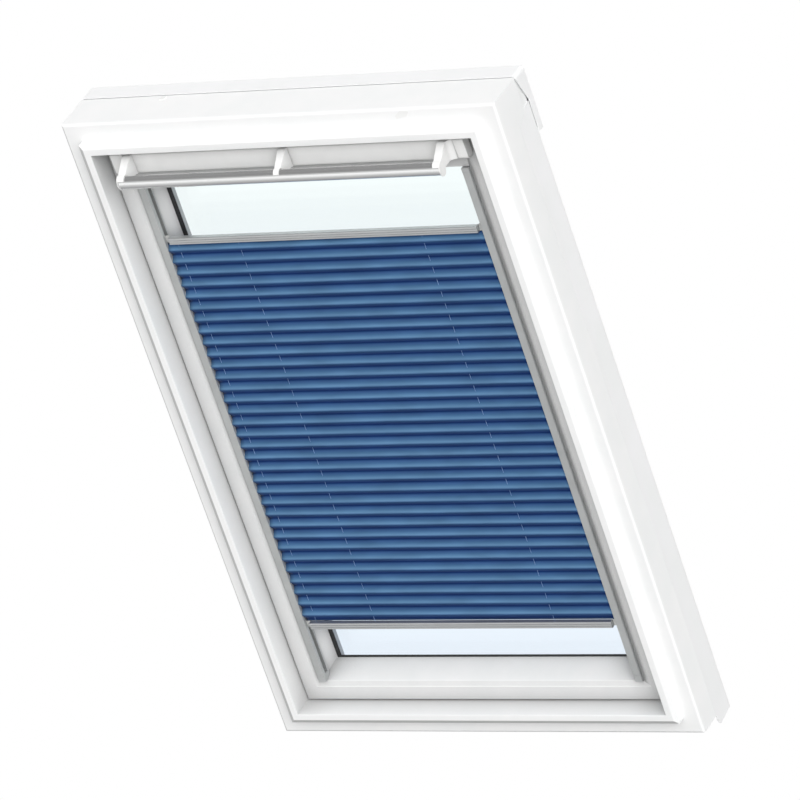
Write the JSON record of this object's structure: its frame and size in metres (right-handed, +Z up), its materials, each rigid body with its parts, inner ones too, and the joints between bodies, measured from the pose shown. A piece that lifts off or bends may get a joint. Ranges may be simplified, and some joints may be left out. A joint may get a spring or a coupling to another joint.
{
  "type": "roof window with pleated blind",
  "caption": "Centre pivot roof window seen from the room, white frame and sash, aluminium grip bar with vent flap, blue pleated blind on two sliding rails in side guides.",
  "frame": {"origin": "middle of the white sill face under the frame, where the window stands on its battens", "axes": "+X to the right seen from the room, +Y through the window to the outside, +Z up the roof slope"},
  "size_m": [0.7836, 0.1595, 1.2003],
  "materials": {
    "white_lacquer": "satin white lacquer over moulded polyurethane",
    "white_plastic": "moulded white plastic, fine satin",
    "cover_paint": "white powder coated aluminium sheet",
    "seal_rubber": "matt grey rubber",
    "black_rubber": "matt black rubber",
    "pane_glass": "clear float glass",
    "zinc_steel": "zinc plated",
    "bar_aluminium": "satin anodised",
    "guide_aluminium": "satin anodised",
    "rail_aluminium": "brushed and anodised, with grooves",
    "spacer_aluminium": "mill finish",
    "grey_plastic": "moulded grey plastic",
    "blue_fabric": "pleated polyester, plain dark blue"
  },
  "bodies": {
    "frame": {"frame_top_member": "white_lacquer", "frame_bottom_member": "white_lacquer", "frame_left_member": "white_lacquer", "frame_right_member": "white_lacquer", "frame_seal_top": "seal_rubber", "frame_seal_bottom": "seal_rubber", "frame_seal_left": "seal_rubber", "frame_seal_right": "seal_rubber", "top_hood": "cover_paint", "side_cover_left": "cover_paint", "side_cover_right": "cover_paint", "bottom_cover": "cover_paint", "pivot_case_left": "zinc_steel", "pivot_case_right": "zinc_steel", "lock_striker": "zinc_steel"},
    "sash": {"sash_top_member": "white_lacquer", "sash_bottom_member": "white_lacquer", "sash_left_member": "white_lacquer", "sash_right_member": "white_lacquer", "vent_head": "white_lacquer", "pivot_plate_left": "zinc_steel", "pivot_plate_right": "zinc_steel", "glazing_gasket": "black_rubber", "inner_pane": "pane_glass", "pane_spacer": "spacer_aluminium", "outer_pane": "pane_glass", "sash_cover_top": "cover_paint", "sash_cover_bottom": "cover_paint", "sash_cover_left": "cover_paint", "sash_cover_right": "cover_paint", "blind_guide_left": "guide_aluminium", "blind_guide_right": "guide_aluminium", "guide_cap_top_left": "grey_plastic", "guide_cap_top_right": "grey_plastic", "guide_cap_bottom_left": "grey_plastic", "guide_cap_bottom_right": "grey_plastic", "flap_bracket_left": "white_plastic", "flap_bracket_right": "white_plastic", "lock_case": "zinc_steel"},
    "control_bar": {"vent_flap": "white_plastic", "flap_end_left": "white_plastic", "flap_end_right": "white_plastic", "grip_bar": "bar_aluminium", "bar_arm_left": "white_plastic", "bar_arm_middle": "white_plastic", "bar_arm_right": "white_plastic"},
    "blind_top_rail": {"top_rail": "rail_aluminium", "top_rail_slider_left": "grey_plastic", "top_rail_slider_right": "grey_plastic", "pleated_fabric": "blue_fabric"},
    "blind_bottom_rail": {"bottom_rail": "rail_aluminium", "bottom_rail_slider_left": "grey_plastic", "bottom_rail_slider_right": "grey_plastic"}
  },
  "joints": [
    {"name": "sash_pivot", "type": "hinge", "parent": "frame", "child": "sash", "pos_m": [0, 0.02, 0.589], "axis": [1, 0, 0], "range_deg": [0, 165]},
    {"name": "control_bar_hinge", "type": "hinge", "parent": "sash", "child": "control_bar", "pos_m": [0, -0.016, 1.09], "axis": [1, 0, 0], "range_deg": [0, 45]},
    {"name": "top_rail_slide", "type": "slide", "parent": "sash", "child": "blind_top_rail", "axis": [0, 0, 1], "range_m": [-0.089, 0.096]},
    {"name": "bottom_rail_slide", "type": "slide", "parent": "blind_top_rail", "child": "blind_bottom_rail", "axis": [0, 0, 1], "range_m": [0, 0.655], "deforming": ["pleated_fabric"]}
  ]
}
